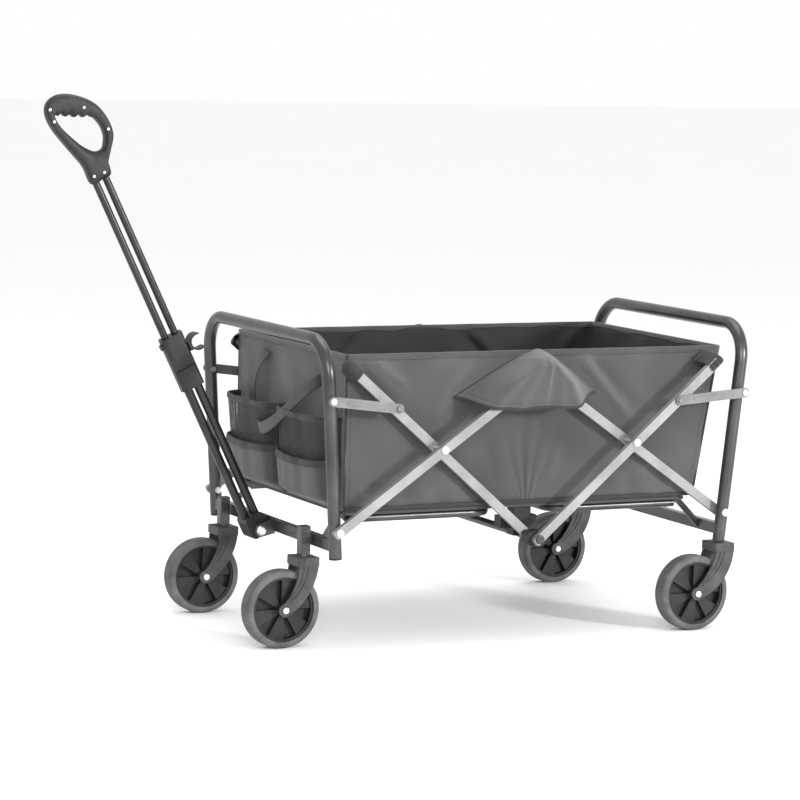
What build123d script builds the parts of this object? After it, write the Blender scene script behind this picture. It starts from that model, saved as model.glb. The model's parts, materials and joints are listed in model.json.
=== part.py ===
"""Collapsible wagon with a scissor side frame, swivel front casters and a telescoping pull handle.

Frame: X runs along the wagon with the handle end towards -X, Y runs across it, +Z is up.
The origin is on the ground, midway between the front and rear pivots.  Left is -Y, right is +Y.
All sizes are millimetres.
"""
import os
from math import cos, radians, sin, tan

from build123d import *

# ---------------------------------------------------------------- driving dimensions
HALF_LENGTH = 430.0          # pivot A (front) and pivot D (rear) stand this far from the middle
HALF_WIDTH = 292.0           # centre line of the legs
PIVOT_HEIGHT = 236.0         # height of the lowest scissor pivots on the legs
TOP_PIVOT_RISE = 298.0       # middle top pivot above the leg pivots
MIDDLE_DROP = 32.0           # middle bottom pivot below the leg pivots
CROSS_FROM_LEG = 218.0       # crossing pivot, measured along X from the leg pivot

LEG_RADIUS = 12.5
LEG_WALL = 1.4
BEND_RADIUS = 72.0
FRONT_SPLAY = 3.5            # degrees, legs lean outwards
REAR_SPLAY = 6.0
FRONT_TOP = 598.0            # centre line of the top bars
REAR_TOP = 612.0
FRONT_LEG_BOTTOM = 186.0
REAR_LEG_BOTTOM = 178.0

BAR_WIDTH = 18.0
BAR_DEPTH = 12.0
BAR_WALL = 1.3
BAR_END = 11.0               # how far a bar runs past its end pivot
OUTER_BAR_Y = HALF_WIDTH + 20.5   # centre of the outer bar layer
INNER_BAR_Y = HALF_WIDTH - 20.0   # centre of the inner bar layer
PIN_RADIUS = 4.0
RUNNING = 0.05               # radial clearance of every running fit
HEAD_RADIUS = 8.0
HEAD_HEIGHT = 3.2
SPACER_RADIUS = 7.5

WHEEL_RADIUS = 76.0
WHEEL_WIDTH = 38.0
TYRE_DEPTH = 13.0
AXLE_RADIUS = 4.0
VANES = 6
STEM_X = -451.0
STEM_Y = 198.0
STEM_SIZE = 21.0
STEM_TOP = 233.0
CASTER_TRAIL = 47.0
REAR_TRAIL = 60.0
FORK_TOP = 176.0
FORK_BOX_LENGTH = 46.0
FORK_BOX_WIDTH = 57.0
FORK_BOX_HEIGHT = 17.0
BLADE_INSIDE = 22.0
BLADE_THICKNESS = 5.0
KINGPIN_RADIUS = 5.0

FRONT_CROSSBAR_Z = 208.0
REAR_CROSSBAR_Z = 202.0
CROSSBAR_HEIGHT = 22.0
CROSSBAR_DEPTH = 16.0

FLOOR_Z = 262.0              # hinge line of the folding floor and middle of its boards
BOARD_THICKNESS = 6.0
FLOOR_TUBE_RADIUS = 8.0
RAIL_Z = 250.0
FRONT_HINGE_X = -386.0
REAR_HINGE_X = 360.0
BOARD_GAP_X = 60.0           # inner ends of the floor boards

RIM_Z = 570.0
CLOTH = 3.0
WALL_Y = HALF_WIDTH - 32.0   # middle of the side walls
BOARD_HALF_WIDTH = WALL_Y - 7.0
RAIL_Y = WALL_Y - 26.0
TAB_Y = RAIL_Y - 16.0
FRONT_PANEL_X = -396.5
REAR_PANEL_BOTTOM_X = 376.0
REAR_PANEL_TOP_X = 428.0
CLOTH_BOTTOM = 267.0

HANDLE_PIVOT_X = -466.0
HANDLE_PIVOT_Z = 200.0
HANDLE_LEAN = 26.0           # degrees forward of upright
TUBE_SPACING = 22.0          # between the two handle tubes
LOWER_TUBE_RADIUS = 8.75
UPPER_ROD_RADIUS = 7.2
LOWER_TUBE_LENGTH = 400.0
GRIP_START = 766.0
ROD_START = LOWER_TUBE_LENGTH - 55.0
ROD_END = GRIP_START + 16.0
BRACKET_START = 318.0
BRACKET_END = 430.0
BUTTON_Z = BRACKET_END - 14.0
BUTTON_FACE = TUBE_SPACING / 2 + LOWER_TUBE_RADIUS + 4
CLIP_X = BUTTON_FACE + LEG_RADIUS + 7.9
CLIP_Z = 395.8               # puts the cradle round the front top bar at full tilt
CLIP_GAP = 1.3
GRIP_THICKNESS = 30.0
EAR_INSIDE = 24.0
EAR_THICKNESS = 4.0

# ---------------------------------------------------------------- derived geometry
SPAN = HALF_LENGTH
RISING_ANGLE = Vector(SPAN, TOP_PIVOT_RISE).get_angle(Vector(1, 0))
CROSS_RISE = CROSS_FROM_LEG * tan(radians(RISING_ANGLE))
LOWER_PART = Vector(SPAN - CROSS_FROM_LEG, CROSS_RISE + MIDDLE_DROP)
FALLING_ANGLE = LOWER_PART.get_angle(Vector(1, 0))
UPPER_PART = 244.0           # from the crossing pivot to the free top end of a falling bar

PIVOT_A = (-SPAN, PIVOT_HEIGHT)
PIVOT_D = (SPAN, PIVOT_HEIGHT)
CROSS_FRONT = (-SPAN + CROSS_FROM_LEG, PIVOT_HEIGHT + CROSS_RISE)
CROSS_REAR = (SPAN - CROSS_FROM_LEG, PIVOT_HEIGHT + CROSS_RISE)
MIDDLE_TOP = (0.0, PIVOT_HEIGHT + TOP_PIVOT_RISE)
MIDDLE_BOTTOM = (0.0, PIVOT_HEIGHT - MIDDLE_DROP)
FREE_RISE = UPPER_PART * sin(radians(FALLING_ANGLE))
FREE_RUN = UPPER_PART * cos(radians(FALLING_ANGLE))
FREE_FRONT = (CROSS_FRONT[0] - FREE_RUN, CROSS_FRONT[1] + FREE_RISE)
FREE_REAR = (CROSS_REAR[0] + FREE_RUN, CROSS_REAR[1] + FREE_RISE)

LINK_ON_BAR = 125.0          # from the crossing pivot to the link's pin, along the falling bar
FRONT_LINK_RISE = 250.4      # the link's leg pin above the leg pivot
REAR_LINK_RISE = 244.0
LINK_WIDTH = 19.0
LINK_THICKNESS = 4.0
FRONT_LINK_Y = HALF_WIDTH + 15.9  # this link reaches in to the inner falling bar
REAR_LINK_Y = HALF_WIDTH + 29.4   # this one lies outside the outer rising bar
LINK_PIN_RADIUS = 5.0
OPEN_EYE = 7.6               # eye of the rear rising bar round the middle pin, which wanders a little
OPEN_EYE_PIN = 2.7           # thin end of the middle pin inside that eye

PARTS = {}


# ---------------------------------------------------------------- helpers
def leg_x(side, height):
    """X of a leg's centre line at a height; side is -1 for the front frame and 1 for the rear."""
    splay = FRONT_SPLAY if side < 0 else REAR_SPLAY
    return side * (HALF_LENGTH + (height - PIVOT_HEIGHT) * tan(radians(splay)))


def y_rod(x, z, y_from, y_to, radius):
    """A round bar along Y at (x, z)."""
    middle = (y_from + y_to) / 2
    return Pos(x, middle, z) * Rot(90, 0, 0) * Cylinder(radius, abs(y_to - y_from))


def dome(x, z, y, direction, radius, height):
    """A domed bolt head whose flat side is at y and which bulges along direction."""
    head = Pos(x, y + direction * height / 2, z) * Rot(90, 0, 0) * Cylinder(radius, height)
    rim = head.edges().sort_by(Axis.Y)[-1 if direction > 0 else 0]
    return fillet(rim, height * 0.7)


def block(x_from, x_to, y_from, y_to, z_from, z_to):
    """A box given by its limits."""
    box = Box(abs(x_to - x_from), abs(y_to - y_from), abs(z_to - z_from))
    return Pos((x_from + x_to) / 2, (y_from + y_to) / 2, (z_from + z_to) / 2) * box


def flip(shape):
    """The same piece on the right-hand side."""
    return mirror(shape, about=Plane.XZ)


def pair(shape):
    """A left piece together with its right twin, as separate solids."""
    return Compound(children=[*shape.solids(), *flip(shape).solids()])


def save(name, shape):
    PARTS[name] = shape
    export_step(shape, f"parts/{name}.step")


def both_sides(name, shape):
    """Write the left and the right copy as two nodes."""
    save(name + "_left", shape)
    save(name + "_right", flip(shape))


def bent_tube(points, radius, wall, bend):
    """A hollow round tube along a filleted polyline."""
    path = FilletPolyline(*points, radius=bend)
    section = Plane(origin=path @ 0, z_dir=path % 0) * (Circle(radius) - Circle(radius - wall))
    return sweep(section, path=path)


# ---------------------------------------------------------------- front and rear frames
def upright_tube(side, bottom, top):
    """U-shaped tube: leg, bend, top bar, bend, leg."""
    low = leg_x(side, bottom)
    high = leg_x(side, top)
    points = [
        (low, -HALF_WIDTH, bottom),
        (high, -HALF_WIDTH, top),
        (high, HALF_WIDTH, top),
        (low, HALF_WIDTH, bottom),
    ]
    tube = bent_tube(points, LEG_RADIUS, LEG_WALL, BEND_RADIUS)
    for hole in bolt_lines(side):
        tube -= y_rod(hole[0], hole[1], -HALF_WIDTH - 20, HALF_WIDTH + 20, hole[2] + 0.02)
    return tube


def link_place(side):
    """Rise of the link's leg pin, Y of the link, and Y of the face its bar pin stops short of."""
    if side < 0:
        return FRONT_LINK_RISE, FRONT_LINK_Y, INNER_BAR_Y + BAR_DEPTH / 2
    return REAR_LINK_RISE, REAR_LINK_Y, OUTER_BAR_Y + BAR_DEPTH / 2


def bolt_lines(side):
    """(x, z, radius) of the two bolts through each leg."""
    link_height = PIVOT_HEIGHT + link_place(side)[0]
    return [
        (side * SPAN, PIVOT_HEIGHT, PIN_RADIUS),
        (leg_x(side, link_height), link_height, PIN_RADIUS - 1),
    ]


def crossbar(side, height, hinge_x):
    """Rectangular tube between the legs, with two welded tabs that carry the floor's hinge pins."""
    x_middle = leg_x(side, height)
    reach = HALF_WIDTH
    outer = Pos(x_middle, 0, height) * Box(CROSSBAR_DEPTH, 2 * reach, CROSSBAR_HEIGHT)
    bore = Pos(x_middle, 0, height) * Box(CROSSBAR_DEPTH - 3, 2 * reach + 2, CROSSBAR_HEIGHT - 3)
    bar = outer - bore
    for y_side in (-1, 1):
        bar -= leg_core(side, y_side)
        bar += hinge_tab(side, y_side, height, hinge_x)
    return bar


def leg_core(side, y_side):
    """Solid cylinder that fills a leg, used to cope the ends of the crossbars."""
    splay = FRONT_SPLAY if side < 0 else REAR_SPLAY
    middle = Pos(leg_x(side, PIVOT_HEIGHT), y_side * HALF_WIDTH, PIVOT_HEIGHT)
    return middle * Rot(0, side * splay, 0) * Cylinder(LEG_RADIUS + 0.05, 400)


def hinge_tab(side, y_side, height, hinge_x):
    """Upright tab from a crossbar to the floor's hinge line, with a pin along Y."""
    face = leg_x(side, height) - side * CROSSBAR_DEPTH / 2
    start = face + side * 1.0
    low = height - CROSSBAR_HEIGHT / 2 + 2
    high = height + CROSSBAR_HEIGHT / 2 - 2
    outline = Polyline(
        (start, low), (hinge_x, FLOOR_Z - 9), (hinge_x - side * 7, FLOOR_Z - 5),
        (hinge_x - side * 7, FLOOR_Z + 3), (hinge_x + side * 4, FLOOR_Z + 4), (start, high), close=True,
    )
    plate = extrude(Plane.XZ * make_face(outline), 2, both=True)
    pin = y_rod(hinge_x, FLOOR_Z, -2, 12, 3.0)
    return Pos(0, y_side * TAB_Y, 0) * (plate + (pin if y_side > 0 else flip(pin)))


def leg_cap():
    """Plastic plug closing the bottom of a front leg."""
    x = leg_x(-1, FRONT_LEG_BOTTOM)
    tilt = Pos(x, -HALF_WIDTH, FRONT_LEG_BOTTOM) * Rot(0, -FRONT_SPLAY, 0)
    plug = Pos(0, 0, 6) * Cylinder(LEG_RADIUS - LEG_WALL - 0.02, 12)
    foot = Pos(0, 0, -2) * Cylinder(LEG_RADIUS, 4)
    return tilt * (plug + fillet(foot.edges().sort_by(Axis.Z)[0], 1.5))


def front_bar_bolt():
    """Bolt through the front leg and the foot of the rising bar, with a spacing washer."""
    x, z = PIVOT_A
    face = OUTER_BAR_Y + BAR_DEPTH / 2
    shaft = y_rod(x, z, -face - 0.1, -HALF_WIDTH + LEG_RADIUS + 1, PIN_RADIUS)
    washer = y_rod(x, z, -OUTER_BAR_Y + BAR_DEPTH / 2 + 0.1, -HALF_WIDTH - LEG_RADIUS, HEAD_RADIUS)
    nut = y_rod(x, z, -HALF_WIDTH + LEG_RADIUS, -HALF_WIDTH + LEG_RADIUS + 4, 6.5)
    return shaft + washer + nut + dome(x, z, -face - 0.1, -1, HEAD_RADIUS, HEAD_HEIGHT)


def rear_bar_bolt():
    """Bolt through the rear leg that carries the foot of the rear falling bar on its inner side."""
    x, z = PIVOT_D
    inner = INNER_BAR_Y - BAR_DEPTH / 2
    outer = HALF_WIDTH + LEG_RADIUS
    shaft = y_rod(x, z, -outer, -inner + 0.3, PIN_RADIUS)
    nut = y_rod(x, z, -inner + 0.2, -inner + 3.0, 6.5)
    return shaft + nut + dome(x, z, -outer, -1, HEAD_RADIUS, HEAD_HEIGHT)


def link_bolt(side):
    """Small bolt that carries a link on the outer side of a leg."""
    x, z, radius = bolt_lines(side)[1]
    link_y = link_place(side)[1]
    outer = link_y + LINK_THICKNESS / 2
    shaft = y_rod(x, z, -outer - 0.1, -HALF_WIDTH + LEG_RADIUS + 1, radius)
    shaft += y_rod(x, z, -link_y + LINK_THICKNESS / 2 + 0.1, -HALF_WIDTH - LEG_RADIUS, 6.0)
    nut = y_rod(x, z, -HALF_WIDTH + LEG_RADIUS, -HALF_WIDTH + LEG_RADIUS + 3, 5.5)
    return shaft + nut + dome(x, z, -outer - 0.1, -1, 6.5, 3.0)


def caster_stem():
    """Square tube bolted to the front of the crossbar; the caster turns under it."""
    outer = block(
        STEM_X - STEM_SIZE / 2, STEM_X + STEM_SIZE / 2,
        -STEM_Y - STEM_SIZE / 2, -STEM_Y + STEM_SIZE / 2, FORK_TOP + 2, STEM_TOP,
    )
    outer = fillet(outer.edges().filter_by(Axis.Z), 2.5)
    bore = Pos(STEM_X, -STEM_Y, 0) * Box(STEM_SIZE - 3, STEM_SIZE - 3, 1000)
    pin_hole = Pos(STEM_X, -STEM_Y, 0) * Cylinder(KINGPIN_RADIUS + 0.02, 1000)
    floor = block(
        STEM_X - STEM_SIZE / 2 + 1, STEM_X + STEM_SIZE / 2 - 1,
        -STEM_Y - STEM_SIZE / 2 + 1, -STEM_Y + STEM_SIZE / 2 - 1, FORK_TOP + 2, FORK_TOP + 8,
    )
    lid = Pos(0, 0, STEM_TOP - FORK_TOP - 6) * floor
    return outer - bore + (floor - pin_hole) + lid


def kingpin():
    """Pin pressed into a stem's floor; its head holds the caster fork."""
    column = Pos(STEM_X, -STEM_Y, FORK_TOP - 4) * Cylinder(KINGPIN_RADIUS, 26)
    head = Pos(STEM_X, -STEM_Y, FORK_TOP - 14.6) * Cylinder(9.0, 4.8)
    return column + head


def handle_clevis():
    """Two ears on a back plate, bolted to the middle of the front crossbar."""
    face = leg_x(-1, FRONT_CROSSBAR_Z) - CROSSBAR_DEPTH / 2
    reach = EAR_INSIDE + EAR_THICKNESS
    plate = block(face - 4, face, -reach, reach, FRONT_CROSSBAR_Z - 15, FRONT_CROSSBAR_Z + 15)
    ear_profile = make_hull(
        (Pos(HANDLE_PIVOT_X, HANDLE_PIVOT_Z) * Circle(13)).edges()
        + (Pos(face - 2, FRONT_CROSSBAR_Z) * Rectangle(4, 30)).edges()
    )
    ear = Pos(0, EAR_INSIDE + EAR_THICKNESS / 2, 0) * extrude(
        Plane.XZ * ear_profile, EAR_THICKNESS / 2, both=True
    )
    bracket = plate + ear + flip(ear)
    return bracket - y_rod(HANDLE_PIVOT_X, HANDLE_PIVOT_Z, -40, 40, PIN_RADIUS + 1 + 0.02)


def handle_bolt():
    """Pivot bolt of the handle through both ears."""
    reach = EAR_INSIDE + EAR_THICKNESS
    shaft = y_rod(HANDLE_PIVOT_X, HANDLE_PIVOT_Z, -reach, reach + 6, PIN_RADIUS + 1)
    nut = y_rod(HANDLE_PIVOT_X, HANDLE_PIVOT_Z, reach, reach + 6, 9.0)
    return shaft + nut + dome(HANDLE_PIVOT_X, HANDLE_PIVOT_Z, -reach, -1, 10.0, 5.0)


def make_frames():
    front = upright_tube(-1, FRONT_LEG_BOTTOM, FRONT_TOP)
    save("front_upright_tube", front)
    rear = upright_tube(1, REAR_LEG_BOTTOM - 6, REAR_TOP)
    rear -= block(0, 2 * SPAN, -SPAN, SPAN, 0, REAR_LEG_BOTTOM)
    save("rear_upright_tube", rear)
    save("front_crossbar", crossbar(-1, FRONT_CROSSBAR_Z, FRONT_HINGE_X))
    save("rear_crossbar", crossbar(1, REAR_CROSSBAR_Z, REAR_HINGE_X))
    save("front_leg_caps", pair(leg_cap()))
    save("front_leg_bolts", Compound(children=[pair(front_bar_bolt()), pair(link_bolt(-1))]))
    save("rear_leg_bolts", Compound(children=[pair(rear_bar_bolt()), pair(link_bolt(1))]))
    both_sides("caster_stem", caster_stem())
    save("caster_kingpins", pair(kingpin()))
    save("handle_clevis", handle_clevis())
    save("handle_pivot_bolt", handle_bolt())


# ---------------------------------------------------------------- scissor sides
def bar(start, end, layer_y, past_start, past_end, eyes):
    """A flat tube between two points of the XZ plane, pressed shut at its ends.

    eyes are (x, z, radius) of the holes across it.
    """
    direction = Vector(end[0] - start[0], end[1] - start[1])
    length = direction.length + past_start + past_end
    angle = direction.get_signed_angle(Vector(1, 0), Vector(0, 0, -1))
    middle = Vector(*start) + direction.normalized() * (length / 2 - past_start)
    solid = extrude(RectangleRounded(length, BAR_WIDTH, BAR_WIDTH * 0.32), BAR_DEPTH / 2, both=True)
    cavity = Box(length - 36, BAR_WIDTH - 2 * BAR_WALL, BAR_DEPTH - 2 * BAR_WALL)
    place = Pos(middle.X, -layer_y, middle.Y) * Rot(90, 0, 0) * Rot(0, 0, angle)
    tube = place * (solid - cavity)
    for x, z, radius in eyes:
        tube += y_rod(x, z, -layer_y - BAR_DEPTH / 2, -layer_y + BAR_DEPTH / 2, radius + 2.0)
        tube -= y_rod(x, z, -layer_y - BAR_DEPTH, -layer_y + BAR_DEPTH, radius)
    return tube


def pivot_pin(point):
    """Shouldered pin joining an outer bar and an inner bar, with a head on each end."""
    x, z = point
    outer = OUTER_BAR_Y + BAR_DEPTH / 2
    inner = INNER_BAR_Y - BAR_DEPTH / 2
    shaft = y_rod(x, z, -outer - 0.1, -inner + 0.2, PIN_RADIUS)
    shoulder_from = -OUTER_BAR_Y + BAR_DEPTH / 2 + 0.2
    shoulder_to = -INNER_BAR_Y - BAR_DEPTH / 2 - 0.2
    shoulder = y_rod(x, z, shoulder_from, shoulder_to, SPACER_RADIUS)
    tail = y_rod(x, z, -inner + 0.1, -inner + 2.4, 6.5)
    return shaft + shoulder + tail + dome(x, z, -outer - 0.1, -1, HEAD_RADIUS, HEAD_HEIGHT)


def link(side):
    """Stamped strip from a leg to the falling bar, with a rib pressed along it and a riveted pin."""
    rise, link_y, bar_face = link_place(side)
    leg_point = (leg_x(side, PIVOT_HEIGHT + rise), PIVOT_HEIGHT + rise)
    cross = CROSS_FRONT if side < 0 else CROSS_REAR
    reach = LINK_ON_BAR
    bar_point = (
        cross[0] + side * reach * cos(radians(FALLING_ANGLE)),
        cross[1] + reach * sin(radians(FALLING_ANGLE)),
    )
    direction = Vector(bar_point[0] - leg_point[0], bar_point[1] - leg_point[1])
    angle = direction.get_signed_angle(Vector(1, 0), Vector(0, 0, -1))
    middle = ((leg_point[0] + bar_point[0]) / 2, (leg_point[1] + bar_point[1]) / 2)
    strip = extrude(SlotCenterToCenter(direction.length, LINK_WIDTH), LINK_THICKNESS / 2, both=True)
    rib = extrude(SlotCenterToCenter(direction.length * 0.55, 6), LINK_THICKNESS / 2 + 1.2)
    place = Pos(middle[0], -link_y, middle[1]) * Rot(90, 0, 0) * Rot(0, 0, angle)
    plate = place * (strip + rib)
    leg_hole = PIN_RADIUS - 1 + RUNNING
    plate -= y_rod(leg_point[0], leg_point[1], -link_y - 9, -link_y + 9, leg_hole)
    pin = y_rod(bar_point[0], bar_point[1], -link_y, -bar_face - 0.4, LINK_PIN_RADIUS)
    head = dome(bar_point[0], bar_point[1], -link_y - LINK_THICKNESS / 2, -1, 6.5, 3.0)
    return plate + pin + head


def middle_tube():
    """Cross tube under the floor that joins the middle bottom pivots of both sides."""
    x, z = MIDDLE_BOTTOM
    tube_end = INNER_BAR_Y - BAR_DEPTH / 2 - 0.3
    outer = OUTER_BAR_Y + BAR_DEPTH / 2
    tube = y_rod(x, z, -tube_end, tube_end, FLOOR_TUBE_RADIUS)
    tube -= y_rod(x, z, -tube_end + 20, tube_end - 20, FLOOR_TUBE_RADIUS - 1.4)
    for side in (-1, 1):
        tube += y_rod(x, z, side * (tube_end - 5), side * (outer - BAR_DEPTH - 0.3), PIN_RADIUS)
        tube += y_rod(x, z, side * (outer - BAR_DEPTH - 0.5), side * (outer + 0.3), OPEN_EYE_PIN)
        tube += dome(x, z, side * (outer + 0.3), side, HEAD_RADIUS + 1, HEAD_HEIGHT)
    return tube


def middle_hub():
    """Plastic block on the middle pin, between the inner and the outer bar."""
    x, z = MIDDLE_BOTTOM
    profile = Pos(x, z) * RectangleRounded(40, 30, 9)
    body = extrude(Plane.XZ * profile, 13, both=True)
    body = Pos(0, -(OUTER_BAR_Y + INNER_BAR_Y) / 2, 0) * body
    return body - y_rod(x, z, -SPAN, 0, PIN_RADIUS + 0.02)


def floor_saddle():
    """Plastic saddle on the middle tube that carries the inner ends of the floor rails."""
    x, z = MIDDLE_BOTTOM
    foot = block(-50, 30, -RAIL_Y - 14, -RAIL_Y + 14, z - 2, RAIL_Z - FLOOR_TUBE_RADIUS - 0.4)
    foot -= block(-60, -20, -SPAN, 0, z - 3, z + 14)
    foot -= block(20, 60, -SPAN, 0, z - 3, z + 14)
    post = block(-22, 16, -RAIL_Y - 14, -RAIL_Y + 14, z - 2, FLOOR_Z - BOARD_THICKNESS / 2 - 0.3)
    return foot + post - y_rod(x, z, -SPAN, 0, FLOOR_TUBE_RADIUS + 0.02)


def make_sides():
    run = RUNNING
    pin = PIN_RADIUS
    front_rising = bar(
        PIVOT_A, MIDDLE_TOP, OUTER_BAR_Y, BAR_END, BAR_END,
        [(*PIVOT_A, pin + run), (*CROSS_FRONT, pin + 0.02), (*MIDDLE_TOP, pin + 0.02)],
    )
    front_falling = bar(
        FREE_FRONT, MIDDLE_BOTTOM, INNER_BAR_Y, 0, BAR_END,
        [(*CROSS_FRONT, pin + run), (*MIDDLE_BOTTOM, pin + run)],
    )
    rear_falling = bar(
        MIDDLE_TOP, PIVOT_D, INNER_BAR_Y, BAR_END, BAR_END,
        [(*MIDDLE_TOP, pin + run), (*CROSS_REAR, pin + run), (*PIVOT_D, pin + run)],
    )
    rear_rising = bar(
        MIDDLE_BOTTOM, FREE_REAR, OUTER_BAR_Y, BAR_END + 1, 0,
        [(*CROSS_REAR, pin + 0.02), (*MIDDLE_BOTTOM, OPEN_EYE)],
    )
    both_sides("front_rising_bar", front_rising)
    both_sides("front_falling_bar", front_falling)
    both_sides("rear_falling_bar", rear_falling)
    both_sides("rear_rising_bar", rear_rising)
    front_pins = Compound(children=[*pivot_pin(CROSS_FRONT).solids(), *pivot_pin(MIDDLE_TOP).solids()])
    both_sides("front_bar_pins", front_pins)
    both_sides("rear_bar_pin", pivot_pin(CROSS_REAR))
    both_sides("front_link", link(-1))
    both_sides("rear_link", link(1))
    save("middle_cross_tube", middle_tube())
    save("middle_hubs", pair(middle_hub()))
    save("floor_saddles", pair(floor_saddle()))


# ---------------------------------------------------------------- folding floor and cloth walls
def floor_frame(side, hinge_x):
    """Bent tube under a floor board, with ears that turn on the crossbar's pins."""
    tip = side * BOARD_GAP_X
    start = hinge_x - side * 12
    points = [
        (start, -RAIL_Y, RAIL_Z), (tip + side * FLOOR_TUBE_RADIUS, -RAIL_Y, RAIL_Z),
        (tip + side * FLOOR_TUBE_RADIUS, RAIL_Y, RAIL_Z), (start, RAIL_Y, RAIL_Z),
    ]
    tube = bent_tube(points, FLOOR_TUBE_RADIUS, 1.3, 32.0)
    brace_x = hinge_x - side * 60
    tube += y_rod(brace_x, RAIL_Z, -RAIL_Y + 6, RAIL_Y - 6, FLOOR_TUBE_RADIUS - 2)
    outline = Polyline(
        (hinge_x + side * 6, FLOOR_Z - 6), (hinge_x + side * 6, FLOOR_Z + 5),
        (hinge_x - side * 30, FLOOR_Z - 4.2), (hinge_x - side * 30, RAIL_Z - 5),
        (hinge_x - side * 8, RAIL_Z - 7), close=True,
    )
    ear = Pos(0, -RAIL_Y + 8, 0) * extrude(Plane.XZ * make_face(outline), 2, both=True)
    ear -= y_rod(hinge_x, FLOOR_Z, -SPAN, 0, 3.0 + RUNNING)
    return tube + ear + flip(ear)


def floor_board(side, hinge_x):
    """Stiff board of the cloth floor on a floor frame, notched for the hinge ears."""
    outer_end = hinge_x + side * 2
    plate = block(
        side * BOARD_GAP_X, outer_end, -BOARD_HALF_WIDTH, BOARD_HALF_WIDTH,
        FLOOR_Z - BOARD_THICKNESS / 2, FLOOR_Z + BOARD_THICKNESS / 2,
    )
    for y_side in (-1, 1):
        plate -= block(
            hinge_x - side * 34, hinge_x + side * 20, y_side * (TAB_Y - 8), y_side * (TAB_Y + 17),
            FLOOR_Z - 10, FLOOR_Z + 10,
        )
    return plate


def front_panel():
    return block(
        FRONT_PANEL_X - CLOTH / 2, FRONT_PANEL_X + CLOTH / 2,
        -WALL_Y + 2.4, WALL_Y - 2.4, CLOTH_BOTTOM, RIM_Z,
    )


def rear_panel():
    outline = Polyline(
        (REAR_PANEL_BOTTOM_X, CLOTH_BOTTOM), (REAR_PANEL_BOTTOM_X + CLOTH, CLOTH_BOTTOM),
        (REAR_PANEL_TOP_X + CLOTH, RIM_Z), (REAR_PANEL_TOP_X, RIM_Z), close=True,
    )
    return extrude(Plane.XZ * make_face(outline), WALL_Y - 2.4, both=True)


def side_panel():
    front = FRONT_PANEL_X - CLOTH / 2
    outline = Polyline(
        (front, CLOTH_BOTTOM), (REAR_PANEL_BOTTOM_X + CLOTH, CLOTH_BOTTOM),
        (REAR_PANEL_TOP_X + CLOTH, RIM_Z), (front, RIM_Z), close=True,
    )
    plate = extrude(Plane.XZ * make_face(outline), CLOTH / 2, both=True)
    return Pos(0, -WALL_Y, 0) * plate


def make_basket():
    save("floor_frame_front", floor_frame(-1, FRONT_HINGE_X))
    save("floor_frame_rear", floor_frame(1, REAR_HINGE_X))
    save("floor_board_front", floor_board(-1, FRONT_HINGE_X))
    save("floor_board_rear", floor_board(1, REAR_HINGE_X))
    save("front_panel", front_panel())
    save("rear_panel", rear_panel())
    both_sides("side_panel", side_panel())


# ---------------------------------------------------------------- wheels and forks
def fork_blade(trail):
    """One curved blade from the fork's box to the axle, in the XZ plane, axle towards -X."""
    low = FORK_TOP - FORK_BOX_HEIGHT + 3
    edge_front = ThreePointArc((-19, low), (-trail * 0.62, 118), (-trail - 12, WHEEL_RADIUS + 4))
    edge_foot = Line((-trail - 12, WHEEL_RADIUS + 4), (-trail + 9, WHEEL_RADIUS - 9))
    edge_rear = ThreePointArc((-trail + 9, WHEEL_RADIUS - 9), (3, 108), (21, low))
    edge_top = Line((21, low), (-19, low))
    outline = make_face(Curve() + [edge_front, edge_foot, edge_rear, edge_top])
    boss = Pos(-trail, WHEEL_RADIUS) * Circle(13)
    return outline + boss


def fork_rib(trail, shift):
    """Narrow curved rib along a blade."""
    low = FORK_TOP - FORK_BOX_HEIGHT + 3
    line = ThreePointArc(
        (-8 + shift, low), (-trail * 0.48 + shift, 116), (-trail + 2 + shift, WHEEL_RADIUS + 17),
    )
    return trace(line, line_width=3.2)


def fork(trail, socket_radius):
    """Moulded fork: box top with a pin socket, two curved ribbed blades and axle bosses."""
    top = block(
        -FORK_BOX_LENGTH / 2, FORK_BOX_LENGTH / 2, -FORK_BOX_WIDTH / 2, FORK_BOX_WIDTH / 2,
        FORK_TOP - FORK_BOX_HEIGHT, FORK_TOP,
    )
    top = fillet(top.edges().filter_by(Axis.Z), 5)
    top = fillet(top.faces().sort_by(Axis.Z)[-1].edges(), 2)
    blade = extrude(Plane.XZ * fork_blade(trail), BLADE_THICKNESS / 2, both=True)
    blade = Pos(0, -BLADE_INSIDE - BLADE_THICKNESS / 2, 0) * blade
    rib_y = -BLADE_INSIDE - BLADE_THICKNESS + 0.5
    for shift in (0.0, 9.0):
        rib = extrude(Plane.XZ * fork_rib(trail, shift), 2.0)
        rib = Pos(0, rib_y, 0) * rib
        blade += rib
    body = top + blade + flip(blade)
    body -= y_rod(-trail, WHEEL_RADIUS, -50, 50, AXLE_RADIUS + 0.02)
    if socket_radius > 0:
        body -= Pos(0, 0, FORK_TOP - 10) * Cylinder(socket_radius, 40)
        body -= Pos(0, 0, FORK_TOP - 14.6) * Cylinder(9.0 + RUNNING, 4.8 + 0.4)
    return body


def axle():
    """Wheel axle with a domed head on each side, centred on the wheel."""
    reach = BLADE_INSIDE + BLADE_THICKNESS + 0.1
    shaft = y_rod(0, 0, -reach, reach, AXLE_RADIUS)
    return shaft + dome(0, 0, -reach, -1, 7.0, 5.0) + dome(0, 0, reach, 1, 7.0, 5.0)


def tyre():
    """Rounded solid tyre."""
    inner = WHEEL_RADIUS - TYRE_DEPTH
    section = Pos((WHEEL_RADIUS + inner) / 2, 0) * Rectangle(TYRE_DEPTH, WHEEL_WIDTH)
    crown = section.vertices().group_by(Axis.X)[-1]
    section = fillet(crown, 8.0)
    return revolve(Plane.XY * section, Axis.Y)


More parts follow.
